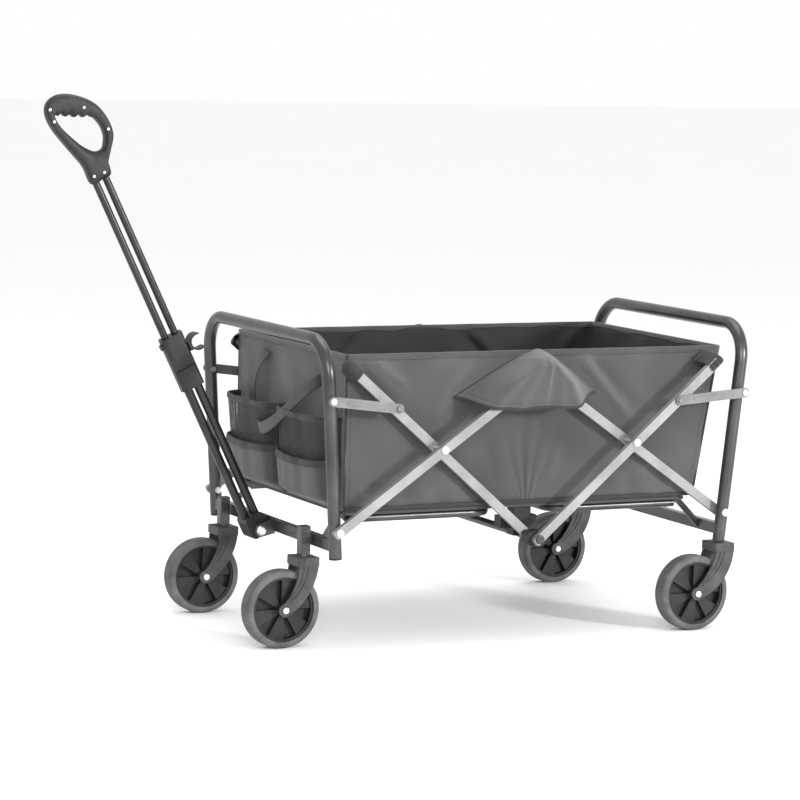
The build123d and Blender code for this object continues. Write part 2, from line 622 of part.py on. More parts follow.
def hub():
    """Moulded wheel centre: rim, web, boss and wedge-shaped vanes, bored for the axle."""
    rim_outer = WHEEL_RADIUS - TYRE_DEPTH - 0.02
    rim = y_rod(0, 0, -16, 16, rim_outer) - y_rod(0, 0, -20, 20, rim_outer - 5)
    web = y_rod(0, 0, -2.5, 2.5, rim_outer - 4)
    boss = y_rod(0, 0, -BLADE_INSIDE + 0.5, BLADE_INSIDE - 0.5, 11.0)
    vane_face = make_face(
        Polyline((7, 0), (rim_outer - 3, 0), ((rim_outer - 3) * cos(radians(32)),
                 (rim_outer - 3) * sin(radians(32))), (7 * cos(radians(60)), 7 * sin(radians(60))), close=True)
    )
    vane = extrude(Plane.XZ * vane_face, 12.5, both=True)
    body = rim + web + boss
    for index in range(VANES):
        body += Rot(0, index * 360 / VANES, 0) * vane
    return body - y_rod(0, 0, -50, 50, AXLE_RADIUS + RUNNING)


def make_wheels():
    front_x = STEM_X - CASTER_TRAIL
    fork_rear_x = leg_x(1, REAR_LEG_BOTTOM)
    rear_x = fork_rear_x - REAR_TRAIL
    caster = Pos(STEM_X, -STEM_Y, 0) * fork(CASTER_TRAIL, KINGPIN_RADIUS + RUNNING)
    fixed = Pos(fork_rear_x, -HALF_WIDTH, 0) * fork(REAR_TRAIL, 0)
    both_sides("caster_fork", caster)
    both_sides("rear_fork", fixed)
    front_axle = Pos(front_x, -STEM_Y, WHEEL_RADIUS) * axle()
    both_sides("caster_axle", front_axle)
    save("rear_axles", pair(Pos(rear_x, -HALF_WIDTH, WHEEL_RADIUS) * axle()))
    ring = tyre()
    centre = hub()
    for name, x, y in (("front", front_x, STEM_Y), ("rear", rear_x, HALF_WIDTH)):
        both_sides(f"{name}_tyre", Pos(x, -y, WHEEL_RADIUS) * ring)
        both_sides(f"{name}_hub", Pos(x, -y, WHEEL_RADIUS) * centre)


# ---------------------------------------------------------------- pull handle
def on_handle(shape):
    """Carry a piece from the handle's own frame (pivot at the origin, length along Z)."""
    return Pos(HANDLE_PIVOT_X, 0, HANDLE_PIVOT_Z) * Rot(0, -HANDLE_LEAN, 0) * shape


def handle_tube(offset, radius, bore, start, end):
    middle = Pos(offset, 0, (start + end) / 2)
    return middle * (Cylinder(radius, end - start) - Cylinder(bore, end - start + 2))


def handle_foot():
    """Block between the clevis ears that holds the lower ends of both tubes."""
    body = extrude(Plane.XZ * RectangleRounded(2 * 21, 46, 10), EAR_INSIDE - 0.5, both=True)
    body = Pos(0, 0, 10) * body
    for offset in (-TUBE_SPACING / 2, TUBE_SPACING / 2):
        body -= Pos(offset, 0, 40) * Cylinder(LOWER_TUBE_RADIUS + 0.02, 50)
    return body - y_rod(0, 0, -50, 50, PIN_RADIUS + 1 + RUNNING)


def slide_bracket():
    """Lock housing clamped on the top of the lower tubes; the upper rods run through it."""
    profile = RectangleRounded(TUBE_SPACING + 2 * LOWER_TUBE_RADIUS + 8, 30, 10)
    body = Pos(0, 0, BRACKET_START) * extrude(profile, BRACKET_END - BRACKET_START)
    waist = block(-50, 50, 10.5, 30, BRACKET_START + 42, BRACKET_START + 66)
    body -= waist
    body -= flip(waist)
    for offset in (-TUBE_SPACING / 2, TUBE_SPACING / 2):
        body -= Pos(offset, 0, LOWER_TUBE_LENGTH / 2) * Cylinder(LOWER_TUBE_RADIUS + 0.02, LOWER_TUBE_LENGTH)
        body -= Pos(offset, 0, BRACKET_END) * Cylinder(UPPER_ROD_RADIUS + RUNNING, 120)
    body -= Pos(-BUTTON_FACE, 0, BUTTON_Z) * Rot(0, 90, 0) * Cylinder(6.2 + RUNNING, 14)
    return body


def lock_button():
    """Push button on the front face of the lock housing."""
    return Pos(-BUTTON_FACE - 0.6, 0, BUTTON_Z) * Rot(0, 90, 0) * Cylinder(6.2, 7)


def stow_clip():
    """Open cradle behind the lock housing that takes the front top bar when the handle is stowed."""
    ring = Circle(LEG_RADIUS + 4.5) - Circle(LEG_RADIUS + CLIP_GAP)
    mouth = Pos(12, 0) * Rectangle(24, 2 * (LEG_RADIUS + CLIP_GAP))
    neck = Pos(-LEG_RADIUS - 5.4, 0) * Rectangle(5, 20)
    cradle = extrude(Plane.XZ * (ring - mouth + neck), 13, both=True)
    return Pos(CLIP_X, 0, CLIP_Z) * cradle


def grip():
    """Closed loop grip with a slanted hand bar, finger waves and a socket for both rods."""
    outer = Spline(
        (-21, 0), (-22, 36), (-35, 77), (-47, 125), (-49, 156), (-38, 176), (-17, 183), (8, 177),
        (35, 156), (53, 130), (61, 97), (59, 67), (45, 43), (27, 20), (21, 0),
    )
    outline = make_face(Curve() + [outer, Line((21, 0), (-21, 0))])
    opening = make_face(Spline(
        (-34, 140), (-33, 149), (-24, 147), (-6, 137), (14, 127), (33, 115), (42, 94), (42, 74),
        (35, 60), (22, 52), (7, 58), (-8, 75), (-21, 100), (-31, 124), periodic=True,
    ))
    body = extrude(Plane.XZ * (outline - opening), GRIP_THICKNESS / 2, both=True)
    body = Pos(0, 0, GRIP_START) * body
    for offset in (-TUBE_SPACING / 2, TUBE_SPACING / 2):
        body -= Pos(offset, 0, GRIP_START) * Cylinder(UPPER_ROD_RADIUS + 0.02, 2 * (ROD_END - GRIP_START))
    return body


def make_handle():
    half = TUBE_SPACING / 2
    lower = [
        on_handle(handle_tube(offset, LOWER_TUBE_RADIUS, UPPER_ROD_RADIUS + RUNNING, 15, LOWER_TUBE_LENGTH))
        for offset in (-half, half)
    ]
    rods = [
        on_handle(handle_tube(offset, UPPER_ROD_RADIUS, UPPER_ROD_RADIUS - 1.2, ROD_START, ROD_END))
        for offset in (-half, half)
    ]
    save("handle_foot", on_handle(handle_foot()))
    save("handle_lower_tubes", Compound(children=[piece.solid() for piece in lower]))
    save("handle_upper_rods", Compound(children=[piece.solid() for piece in rods]))
    save("slide_bracket", on_handle(slide_bracket() + stow_clip()))
    save("lock_button", on_handle(lock_button()))
    save("handle_grip", on_handle(grip()))


def main():
    os.makedirs("parts", exist_ok=True)
    make_frames()
    make_sides()
    make_basket()
    make_wheels()
    make_handle()
    print(len(PARTS), "nodes")


main()
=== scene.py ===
import json
import math

import bpy
import numpy as np
from mathutils import Matrix, Vector


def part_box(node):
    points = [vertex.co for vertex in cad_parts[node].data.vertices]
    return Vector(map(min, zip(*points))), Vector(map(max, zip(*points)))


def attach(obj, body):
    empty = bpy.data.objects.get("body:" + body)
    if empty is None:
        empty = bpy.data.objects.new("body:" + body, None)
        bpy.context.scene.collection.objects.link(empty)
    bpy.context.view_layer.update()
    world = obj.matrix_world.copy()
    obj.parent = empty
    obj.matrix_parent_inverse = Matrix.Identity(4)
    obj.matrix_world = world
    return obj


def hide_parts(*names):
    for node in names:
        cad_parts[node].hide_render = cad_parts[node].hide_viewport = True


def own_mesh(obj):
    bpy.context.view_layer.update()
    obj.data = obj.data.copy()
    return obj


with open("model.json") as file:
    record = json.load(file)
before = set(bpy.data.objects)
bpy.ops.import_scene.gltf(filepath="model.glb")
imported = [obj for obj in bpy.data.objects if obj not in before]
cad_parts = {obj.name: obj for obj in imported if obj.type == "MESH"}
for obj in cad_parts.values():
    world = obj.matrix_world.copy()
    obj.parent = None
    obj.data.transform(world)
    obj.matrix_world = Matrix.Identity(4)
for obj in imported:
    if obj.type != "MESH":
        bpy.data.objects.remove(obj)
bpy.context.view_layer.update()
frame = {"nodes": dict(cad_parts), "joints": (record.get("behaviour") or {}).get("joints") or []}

TAU = 2 * math.pi
SIDES = {"left": -1, "right": 1}


# ---------------------------------------------------------------- shader maths

class Socket:
    """One shader value. Arithmetic on it adds the matching maths nodes."""

    def __init__(self, graph, output):
        self.graph = graph
        self.output = output

    def math(self, operation, *others):
        inputs = dict(enumerate((self,) + others))
        return self.graph.node("ShaderNodeMath", inputs, operation=operation)

    def __add__(self, other):
        return self.math("ADD", other)

    def __sub__(self, other):
        return self.math("SUBTRACT", other)

    def __mul__(self, other):
        return self.math("MULTIPLY", other)

    def __rsub__(self, other):
        return self.math("MULTIPLY", -1.0) + other

    __radd__ = __add__
    __rmul__ = __mul__

    def sin(self):
        return self.math("SINE")

    def abs(self):
        return self.math("ABSOLUTE")

    def above(self, low, high):
        """0 below low, 1 above high, and a ramp between."""
        inputs = {0: self, 1: low, 2: high, 3: 0.0, 4: 1.0}
        return self.graph.node("ShaderNodeMapRange", inputs, clamp=True)


class Paint:
    """A material whose varying inputs come from procedural nodes."""

    def __init__(self, name, **constants):
        self.material = bpy.data.materials.new(name)
        self.material.use_nodes = True
        self.tree = self.material.node_tree
        self.shader = self.tree.nodes["Principled BSDF"]
        for key, value in constants.items():
            socket = key.replace("_", " ").title().replace("Ior", "IOR")
            self.shader.inputs[socket].default_value = value

    def node(self, kind, inputs=None, out=0, **settings):
        made = self.tree.nodes.new(kind)
        for key, value in settings.items():
            setattr(made, key, value)
        for key, value in (inputs or {}).items():
            if isinstance(value, Socket):
                self.tree.links.new(value.output, made.inputs[key])
            else:
                made.inputs[key].default_value = value
        return Socket(self, made.outputs[out])

    def feed(self, name, value):
        self.tree.links.new(value.output, self.shader.inputs[name])

    def place(self):
        return self.node("ShaderNodeTexCoord", out="Object")

    def flat(self):
        """The flat pattern coordinates of a cloth piece, in metres."""
        uv = self.node("ShaderNodeUVMap", uv_map="flat")
        split = self.node("ShaderNodeSeparateXYZ", {0: uv})
        other = Socket(self, split.output.node.outputs[1])
        return split, other

    def noise(self, scale, detail=3.0):
        inputs = {"Vector": self.place(), "Scale": scale, "Detail": detail, "Roughness": 0.55}
        return self.node("ShaderNodeTexNoise", inputs)

    def attribute(self, name):
        return self.node("ShaderNodeAttribute", out="Fac", attribute_name=name)

    def tint(self, factor, low, high):
        """A colour between low and high."""
        inputs = {0: factor, 6: (*low, 1), 7: (*high, 1)}
        return self.node("ShaderNodeMix", inputs, out=2, data_type="RGBA")

    def bump(self, height, distance):
        inputs = {"Height": height, "Distance": distance, "Strength": 1.0}
        self.feed("Normal", self.node("ShaderNodeBump", inputs))


def grey(value):
    return (value, value, value)


def coated_metal(name, low, high, metallic, rough, peel=0.00008):
    """Powder-coated or plated steel: fine orange peel and dusty patches."""
    paint = Paint(name, metallic=metallic)
    fine = paint.noise(900.0, 2.0)
    broad = paint.noise(14.0, 4.0)
    paint.feed("Base Color", paint.tint(broad.above(0.3, 0.7), grey(low), grey(high)))
    paint.feed("Roughness", broad * 0.12 + fine * 0.08 + rough)
    paint.bump(fine, peel)
    return paint.material


def moulded(name, low, high, rough, grain=700.0, depth=0.00012):
    """Moulded plastic or rubber with a fine spark-eroded grain and scuffed patches."""
    paint = Paint(name, specular_ior_level=0.3)
    fine = paint.noise(grain, 2.0)
    broad = paint.noise(30.0, 5.0)
    paint.feed("Base Color", paint.tint(broad.above(0.35, 0.7), grey(low), grey(high)))
    paint.feed("Roughness", fine * 0.12 + broad * 0.1 + rough)
    paint.bump(fine + broad * 0.4, depth)
    return paint.material


STITCH_PITCH = 0.0042
HEM_WIDTH = 0.0105


def woven(name, low, high, thread=0.0011, stitched=True, depth=0.00022, sheen=0.3, holes=0.0):
    """Plain-weave polyester, with stitched hems and faint dust, and with painted highlight on crease ridges
    and painted shade in crease hollows.
    holes is the pitch of a net's open lattice, or 0 for a closed cloth."""
    paint = Paint(name, sheen_weight=sheen, sheen_roughness=0.45, specular_ior_level=0.4)
    u, v = paint.flat()
    turns = TAU / thread
    weave = (u * turns).sin() * (v * turns).sin()
    slub = paint.noise(260.0, 3.0)
    dust = paint.noise(9.0, 5.0)
    # Tone from dust, slub and weave, plus the per-vertex painted light value: painted highlight where the
    # cloth stands out, painted shade where it lies inward.
    shade = dust * 0.55 + slub * 0.2 + weave * 0.06 + paint.attribute("fold") * 0.25
    height = weave * 0.5 + slub * 0.4
    if stitched:
        hem = paint.attribute("hem")
        along = paint.attribute("along")
        dash = (along * (TAU / STITCH_PITCH)).sin().above(-0.35, 0.05)
        near = (hem - HEM_WIDTH).abs()
        line = 1.0 - near.above(0.0005, 0.0010)
        groove = 1.0 - near.above(0.0006, 0.0030)
        thread_line = line * dash
        # The groove beside each stitch line is painted darker, painted shade in the seam's recess; the thread
        # itself is lighter.
        shade = shade + thread_line * 0.35 - groove * 0.22
        height = height + thread_line * 2.0 - groove * 2.5
    paint.feed("Base Color", paint.tint(shade.above(0.1, 0.95), grey(low), grey(high)))
    paint.feed("Roughness", slub * 0.15 + dust * 0.1 + 0.5)
    paint.bump(height, depth)
    if holes:
        pitch = TAU / holes
        lattice = (u * pitch).sin() * (v * pitch).sin()
        paint.feed("Alpha", 1.0 - lattice.abs().above(0.35, 0.5))
    return paint.material


def webbing(name):
    """Ribbed strap webbing."""
    paint = Paint(name, sheen_weight=0.2)
    u, v = paint.flat()
    rib = (v * (TAU / 0.0022)).sin()
    twill = ((u + v) * (TAU / 0.0030)).sin()
    slub = paint.noise(300.0)
    paint.feed("Base Color", paint.tint(slub * 0.6 + rib * 0.2 + 0.2, grey(0.010), grey(0.030)))
    paint.feed("Roughness", slub * 0.2 + 0.55)
    paint.bump(rib + twill * 0.5, 0.0004)
    return paint.material


FRAME = coated_metal("frame_coat", 0.045, 0.085, 0.65, 0.20)
BAR = coated_metal("bar_coat", 0.18, 0.29, 0.45, 0.44)
LINK = coated_metal("link_coat", 0.10, 0.19, 0.45, 0.40)
ZINC = coated_metal("zinc_plate", 0.72, 0.85, 1.0, 0.22, 0.00004)
ROD = coated_metal("rod_coat", 0.018, 0.040, 0.55, 0.16)
CLOTH = woven("wagon_cloth", 0.018, 0.090)
# The inner face of the walls: the same weave painted far darker than the outer cloth, painted shade inside
# the basket.
INNER_SHADE_CLOTH = woven("lining_cloth", 0.004, 0.012, sheen=0.05)
DARK_CLOTH = woven("dark_cloth", 0.022, 0.045, stitched=False)
POCKET_CLOTH = woven("pocket_cloth", 0.018, 0.060)
MESH_CLOTH = woven("mesh_cloth", 0.010, 0.026, stitched=False, sheen=0.1, holes=0.0064)
BINDING = woven("edge_binding", 0.010, 0.026, thread=0.0018, stitched=False, depth=0.0003, sheen=0.1)
WEBBING = webbing("strap_webbing")
TYRE = moulded("tyre_rubber", 0.060, 0.115, 0.55, 500.0, 0.0003)
WHEEL = moulded("wheel_plastic", 0.008, 0.020, 0.38)
FORK = moulded("fork_plastic", 0.030, 0.065, 0.34)
BLACK = moulded("black_plastic", 0.008, 0.020, 0.34)
GRIP = moulded("grip_plastic", 0.010, 0.024, 0.36, 900.0, 0.00018)

FINISHES = [
    ("front_tyre", TYRE), ("rear_tyre", TYRE), ("front_hub", WHEEL), ("rear_hub", WHEEL),
    ("caster_fork", FORK), ("rear_fork", FORK), ("caster_axle", ZINC), ("rear_axles", ZINC),
    ("caster_kingpins", ZINC), ("front_leg_bolts", ZINC), ("rear_leg_bolts", ZINC),
    ("front_bar_pins", ZINC), ("rear_bar_pin", ZINC), ("handle_pivot_bolt", ZINC),
    ("front_link", LINK), ("rear_link", LINK), ("front_rising", BAR), ("front_falling", BAR),
    ("rear_rising", BAR), ("rear_falling", BAR), ("front_leg_caps", BLACK), ("middle_hubs", BLACK),
    ("handle_clevis", FRAME), ("handle_foot", BLACK), ("handle_grip", GRIP), ("slide_bracket", BLACK),
    ("lock_button", BLACK), ("handle_lower", ROD), ("handle_upper", ROD), ("floor_board", DARK_CLOTH),
    ("floor_saddles", BLACK),
]

for node_name, node in frame["nodes"].items():
    finish = next((m for prefix, m in FINISHES if node_name.startswith(prefix)), FRAME)
    node.data.materials.clear()
    node.data.materials.append(finish)


# ---------------------------------------------------------------- mesh helpers

def gauss(value, width):
    return np.exp(-(value / width) ** 2)


def smooth(value):
    held = np.clip(value, 0, 1)
    return held * held * (3 - 2 * held)


def bulged(value, power):
    """A sine or cosine drawn towards its peaks, which squares the round that it makes."""
    return np.sign(value) * np.abs(value) ** power


def to_segment(x, z, start, end):
    """Distance from each (x, z) to a segment, and how far along it the nearest point lies."""
    run = np.array(end) - np.array(start)
    share = ((x - start[0]) * run[0] + (z - start[1]) * run[1]) / (run @ run)
    held = np.clip(share, 0, 1)
    return np.hypot(x - start[0] - held * run[0], z - start[1] - held * run[1]), share


def add_mesh(name, points, faces, material, body):
    """A smooth piece that moves with body. points is any grid of places, faces a list of vertex numbers."""
    mesh = bpy.data.meshes.new(name)
    mesh.from_pydata(points.reshape(-1, 3).tolist(), [], faces)
    mesh.polygons.foreach_set("use_smooth", np.ones(len(mesh.polygons), bool))
    mesh.materials.append(material)
    piece = bpy.data.objects.new(name, mesh)
    bpy.context.scene.collection.objects.link(piece)
    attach(piece, body)
    return piece


def quads(rows, columns, tube=False, ring=False):
    """Faces of a rows x columns grid of points. tube joins the last column to the first, ring the last row
    to the first."""
    index = np.arange(rows * columns).reshape(rows, columns)
    if ring:
        index = np.vstack([index, index[:1]])
    if tube:
        index = np.hstack([index, index[:, :1]])
    four = index[:-1, :-1], index[1:, :-1], index[1:, 1:], index[:-1, 1:]
    return np.stack(four, -1).reshape(-1, 4)


def facing(faces, points):
    """Each face's middle, and its normal times twice its area."""
    p = points.reshape(-1, 3)[faces]
    return p.mean(1), np.cross(p[:, 2] - p[:, 0], p[:, 3] - p[:, 1])


def lay_flat(mesh, flat):
    """Keeps each vertex's place on the flat pattern, in metres, as the UV map that the weave follows."""
    loops = np.zeros(len(mesh.loops), int)
    mesh.loops.foreach_get("vertex_index", loops)
    mesh.uv_layers.new(name="flat").data.foreach_set("uv", flat[loops].ravel())


def cloth_sheet(name, point, size, steps, material, body, outward, thickness=0.0014, fold=None, lining=None):
    """A sheet whose surface is point(u, v) for u, v from 0 to 1, cut from a flat size of (width, height).
    Its pattern coordinates, hem distance and a painted light value, mostly from crease height, are kept for
    the cloth's shader, which paints highlight and shade from it. A second material, if given, is for the
    inner face: a darker cloth that is painted shade inside the basket."""
    u, v = np.meshgrid(np.linspace(0, 1, steps[0]), np.linspace(0, 1, steps[1]), indexing="ij")
    points = np.stack(np.broadcast_arrays(*point(u, v)), -1)
    faces = quads(*steps)
    if facing(faces, points)[1].sum(0) @ np.array(outward) < 0:
        faces = faces[:, ::-1]
    piece = add_mesh(name, points, faces.tolist(), material, body)
    mesh = piece.data
    flat = np.stack([u * size[0], v * size[1]], -1).reshape(-1, 2)
    lay_flat(mesh, flat)
    to_side = np.minimum(flat[:, 0], size[0] - flat[:, 0])
    to_end = np.minimum(flat[:, 1], size[1] - flat[:, 1])
    values = {
        "hem": np.minimum(to_side, to_end),
        "along": np.where(to_side < to_end, flat[:, 1], flat[:, 0]),
        "fold": np.zeros(len(flat)) if fold is None else fold(u, v).ravel(),
    }
    for key, numbers in values.items():
        mesh.attributes.new(key, "FLOAT", "POINT").data.foreach_set("value", numbers.astype(np.float32))
    solid = piece.modifiers.new("thickness", "SOLIDIFY")
    solid.thickness = thickness
    solid.offset = 0
    if lining:
        mesh.materials.append(lining)
        solid.material_offset = 1
    return piece


def bound_edge(name, path, half_width, half_height, sideways, material, body, sides=14):
    """A folded edge binding: an oval section swept along path, with closed ends.
    The section's short axis lies along sideways."""
    path = np.asarray(path, float)
    tangent = np.gradient(path, axis=0)
    tangent /= np.linalg.norm(tangent, axis=1)[:, None]
    across = np.broadcast_to(np.asarray(sideways, float), path.shape)
    up = np.cross(tangent, across)
    up /= np.linalg.norm(up, axis=1)[:, None]
    across = np.cross(up, tangent)
    turn = np.linspace(0, TAU, sides, endpoint=False)
    wide = half_width * bulged(np.cos(turn), 0.7)
    tall = half_height * bulged(np.sin(turn), 0.7)
    points = path[:, None] + across[:, None] * wide[:, None] + up[:, None] * tall[:, None]
    faces = quads(len(path), sides, tube=True)
    end_ring = (len(path) - 1) * sides
    caps = np.array([range(sides), range(end_ring + sides - 1, end_ring - 1, -1)])
    middle, normal = facing(faces, points)
    if (normal * (middle - path[faces[:, 0] // sides])).sum() < 0:
        faces = faces[:, ::-1]
        caps = caps[:, ::-1]
    piece = add_mesh(name, points, faces.tolist() + caps.tolist(), material, body)
    mesh = piece.data
    distance = np.concatenate([[0], np.cumsum(np.linalg.norm(np.diff(path, axis=0), axis=1))])
    lay_flat(mesh, np.stack(np.meshgrid(distance, turn * half_height, indexing="ij"), -1).reshape(-1, 2))
    mesh.attributes.new("fold", "FLOAT", "POINT")
    return piece


# ---------------------------------------------------------------- the basket

side_low, side_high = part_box("side_panel_left")
FRONT_X = side_low.x + 0.0005
REAR_LOW_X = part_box("rear_panel")[0].x + 0.0005
REAR_HIGH_X = side_high.x - 0.0025
BASE_Z = side_low.z
RIM_Z = side_high.z
WALL_Y = -(side_low.y + side_high.y) / 2
WALL_HEIGHT = RIM_Z - BASE_Z


def rear_x(v):
    return REAR_LOW_X + v * (REAR_HIGH_X - REAR_LOW_X)


# Each crease of the side cloth: its start and end as (x, z), its height inward and its half width.
CREASES = [
    ((0.105, 0.566), (0.236, 0.425), -0.0075, 0.011),
    ((0.128, 0.566), (0.262, 0.440), 0.0048, 0.016),
    ((-0.120, 0.566), (-0.215, 0.440), -0.0045, 0.012),
    ((-0.380, 0.556), (-0.290, 0.470), 0.0045, 0.012),
    ((-0.340, 0.562), (-0.262, 0.505), -0.0040, 0.009),
    ((0.395, 0.556), (0.318, 0.470), 0.0040, 0.014),
    ((-0.372, 0.300), (-0.300, 0.285), -0.0040, 0.007),
    ((-0.352, 0.320), (-0.280, 0.300), 0.0030, 0.008),
    ((-0.240, 0.292), (-0.180, 0.312), -0.0030, 0.007),
    ((0.180, 0.300), (0.330, 0.352), -0.0032, 0.014),
    ((-0.060, 0.300), (-0.090, 0.410), 0.0030, 0.014),
    ((0.050, 0.300), (0.070, 0.400), -0.0030, 0.012),
]


def side_folds(u, v):
    """How far the side cloth lies inward: a shallow belly, pleats that fan up from the bottom of the
    crossing, long creases between the rim and the bars, and low ripples under the rim."""
    x = FRONT_X + u * (rear_x(v) - FRONT_X)
    z = BASE_Z + v * WALL_HEIGHT
    held = np.sin(math.pi * np.clip(u, 0, 1)) ** 0.5 * np.sin(math.pi * np.clip(v, 0, 1)) ** 0.6
    belly = 0.0065 * held
    angle = np.arctan2(x + 0.004, z - BASE_Z + 0.02)
    reach = np.hypot(x + 0.004, z - BASE_Z)
    pleats = 0.0042 * np.cos(angle * 26 + 0.6) * gauss(angle - 0.02, 0.36) * np.exp(-reach / 0.11)
    creases = 0
    for start, end, depth, width in CREASES:
        gap, share = to_segment(x, z, start, end)
        creases = creases + depth * gauss(gap, width) * smooth(share * 4) * smooth((1 - share) * 3 + 0.2)
    ripple = 0.0016 * np.sin(x * 57 + 1.1 + 3 * v) * np.exp(-(1 - v) / 0.22)
    low = 0.0022 * np.sin(x * 88 + z * 40) * gauss(z - BASE_Z - 0.03, 0.035) * gauss(np.abs(x) - 0.24, 0.12)
    slack = 0.0011 * np.sin(x * 23 - z * 31) + 0.0009 * np.sin(x * 41 + z * 53 + 2)
    edge = smooth(v * 22) * smooth((1 - v) * 26)
    return belly + (pleats + creases + low + slack) * edge + ripple


def side_wall(side):
    def point(u, v):
        x = FRONT_X + u * (rear_x(v) - FRONT_X)
        z = BASE_Z + 0.0008 + v * (WALL_HEIGHT - 0.002)
        return x, side * (WALL_Y - side_folds(u, v)), z
    return point


def end_wall(x_low, x_high, seed, way):
    """An end wall of cloth over a stiff board: nearly flat, with slack ripples near its rim. It leans from
    x_low at its foot to x_high at its rim, and way is the side that its outer face looks to."""
    def point(u, v):
        y = (u - 0.5) * 2 * (WALL_Y - 0.0012)
        z = BASE_Z + 0.0008 + v * (WALL_HEIGHT - 0.002)
        slack = 0.0016 * np.sin(y * 31 + seed + 2 * v) * smooth(v * 3)
        slack = slack + 0.0010 * np.sin(y * 57 - z * 35 + seed)
        held = smooth(u * 12) * smooth((1 - u) * 12) * smooth(v * 14) * smooth((1 - v) * 14)
        return x_low + v * (x_high - x_low) + way * slack * held, y, z
    return point


def rim_path(point, steps=120, top=1.0):
    """The line across a sheet at the height v = top."""
    u = np.linspace(0, 1, steps)
    x, y, z = np.broadcast_arrays(*point(u, np.full(steps, top)))
    return np.stack([x, y, z], -1)


def gather(piece):
    """Gives a piece its own copy of its mesh."""
    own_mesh(piece)


side_length = (REAR_LOW_X + REAR_HIGH_X) / 2 - FRONT_X
for name, side in SIDES.items():
    point = side_wall(side)
    # The side cloth's painted light: lighter where it stands out and darker where it lies inward, painted
    # highlight on crease ridges and painted shade in the hollows and belly.
    wall = cloth_sheet(f"side_cloth_{name}", point, (side_length, WALL_HEIGHT), (280, 110), CLOTH,
                       "front_frame", (0, side, 0), fold=lambda u, v: 0.7 - side_folds(u, v) / 0.009,
                       lining=INNER_SHADE_CLOTH)
    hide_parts(f"side_panel_{name}")
    path = rim_path(point)
    path[:, 2] -= 0.0046
    rim = bound_edge(f"side_rim_{name}", path, 0.0020, 0.0062, (0, 1, 0), CLOTH, "front_frame")
    low = rim_path(point, top=0.0)
    low[:, 2] += 0.0040
    hem = bound_edge(f"side_hem_{name}", low, 0.0018, 0.0045, (0, 1, 0), BINDING, "front_frame")
    for piece in (wall, rim, hem):
        gather(piece)

end_walls = {
    "front": ("front_frame", FRONT_X + 0.0012, FRONT_X + 0.0012, 0.4, -1),
    "rear": ("rear_frame", REAR_LOW_X + 0.0012, REAR_HIGH_X + 0.0008, 2.1, 1),
}
for name, (body, x_low, x_high, seed, way) in end_walls.items():
    point = end_wall(x_low, x_high, seed, way)
    wall = cloth_sheet(f"{name}_cloth", point, (2 * WALL_Y, WALL_HEIGHT), (160, 100), CLOTH, body,
                       (way, 0, 0), lining=INNER_SHADE_CLOTH)
    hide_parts(f"{name}_panel")
    path = rim_path(point, 80)
    path[:, 2] -= 0.0046
    rim = bound_edge(f"{name}_rim", path, 0.0020, 0.0062, (1, 0, 0), CLOTH, body)
    for corner, side in SIDES.items():
        v = np.linspace(0.005, 0.995, 40)
        line = np.stack([x_low + v * (x_high - x_low) - way * 0.0004, side * (WALL_Y - 0.0004) + 0 * v,
                         BASE_Z + v * WALL_HEIGHT], -1)
        bound_edge(f"{name}_corner_{corner}", line, 0.0021, 0.0021, (0, 1, 0), BINDING, body)


# ---------------------------------------------------------------- flaps over the crossings

FLAP_Y = 0.0705


def flap(side):
    """A hip-roofed flap sewn to the rim: it runs out over the top of the crossing, falls to a straight lower
    edge, and its two ends taper back to the wall."""
    def point(u, v):
        s = 2 * u - 1
        spread = v ** 0.9
        x = 0.014 * (1 - spread) + s * (0.016 * (1 - spread) + 0.156 * spread) - 0.009 * spread
        open_ends = smooth(v * 1.5)
        out = smooth((s + 1) / (1 - 0.64 * open_ends)) * smooth((1 - s) / (1 - 0.48 * open_ends))
        shelf = smooth(v / 0.34)
        ridge_y = FLAP_Y * shelf - 0.003 * v
        ridge_z = RIM_Z + 0.0016 - 0.019 * shelf - 0.088 * np.clip((v - 0.22) / 0.78, 0, 1) ** 1.15
        wall_z = RIM_Z - 0.0005 - 0.086 * v
        seam = 0.0022 * gauss(s - 0.05, 0.05) * smooth(v * 3)
        pucker = 0.0014 * np.sin(s * 21 + 2.5 * v) * v * out
        y = WALL_Y + 0.0014 + ridge_y * out + seam + pucker
        z = wall_z + (ridge_z - wall_z) * out + 0.0016 * np.sin(s * 9 + 1) * v
        return x, side * y, z
    return point


for name, side in SIDES.items():
    point = flap(side)
    # The flap's painted light: a lighter band along its ridge seam is a painted highlight.
    piece = cloth_sheet(f"crossing_flap_{name}", point, (0.30, 0.15), (120, 56), CLOTH, "front_frame",
                        (0, side, 0.4), fold=lambda u, v: 0.5 + 0.4 * gauss(2 * u - 1.05, 0.06))
    edge = bound_edge(f"flap_edge_{name}", rim_path(point, 80), 0.0014, 0.0030, (0, 1, 0), BINDING,
                      "front_frame")
    gather(piece)
    gather(edge)


# ---------------------------------------------------------------- corner caps over the bar ends

# The bars' slope at rest.
CAP_SLOPE = math.radians(40.8)


def corner_cap(side, way, end_x, end_z, out):
    """A dark cloth cap sewn to the wall round the upper end of a bar: a half tube that closes towards the
    corner. way is the bar's direction along X from the corner, out how far the cap stands off the wall."""
    def point(u, v):
        opened = smooth(u * 5)
        along = -0.019 + 0.038 * u
        across = (0.003 + 0.0122 * opened) * np.cos(math.pi * v)
        x = end_x + way * (along * math.cos(CAP_SLOPE) + across * math.sin(CAP_SLOPE))
        z = end_z - along * math.sin(CAP_SLOPE) + across * math.cos(CAP_SLOPE)
        stand = (0.004 + (out - 0.004) * opened) * np.sin(math.pi * v) ** 0.7
        return x, side * (WALL_Y + 0.0016 + stand + 0.0008 * np.sin(u * 23) * np.sin(math.pi * v)), z
    return point


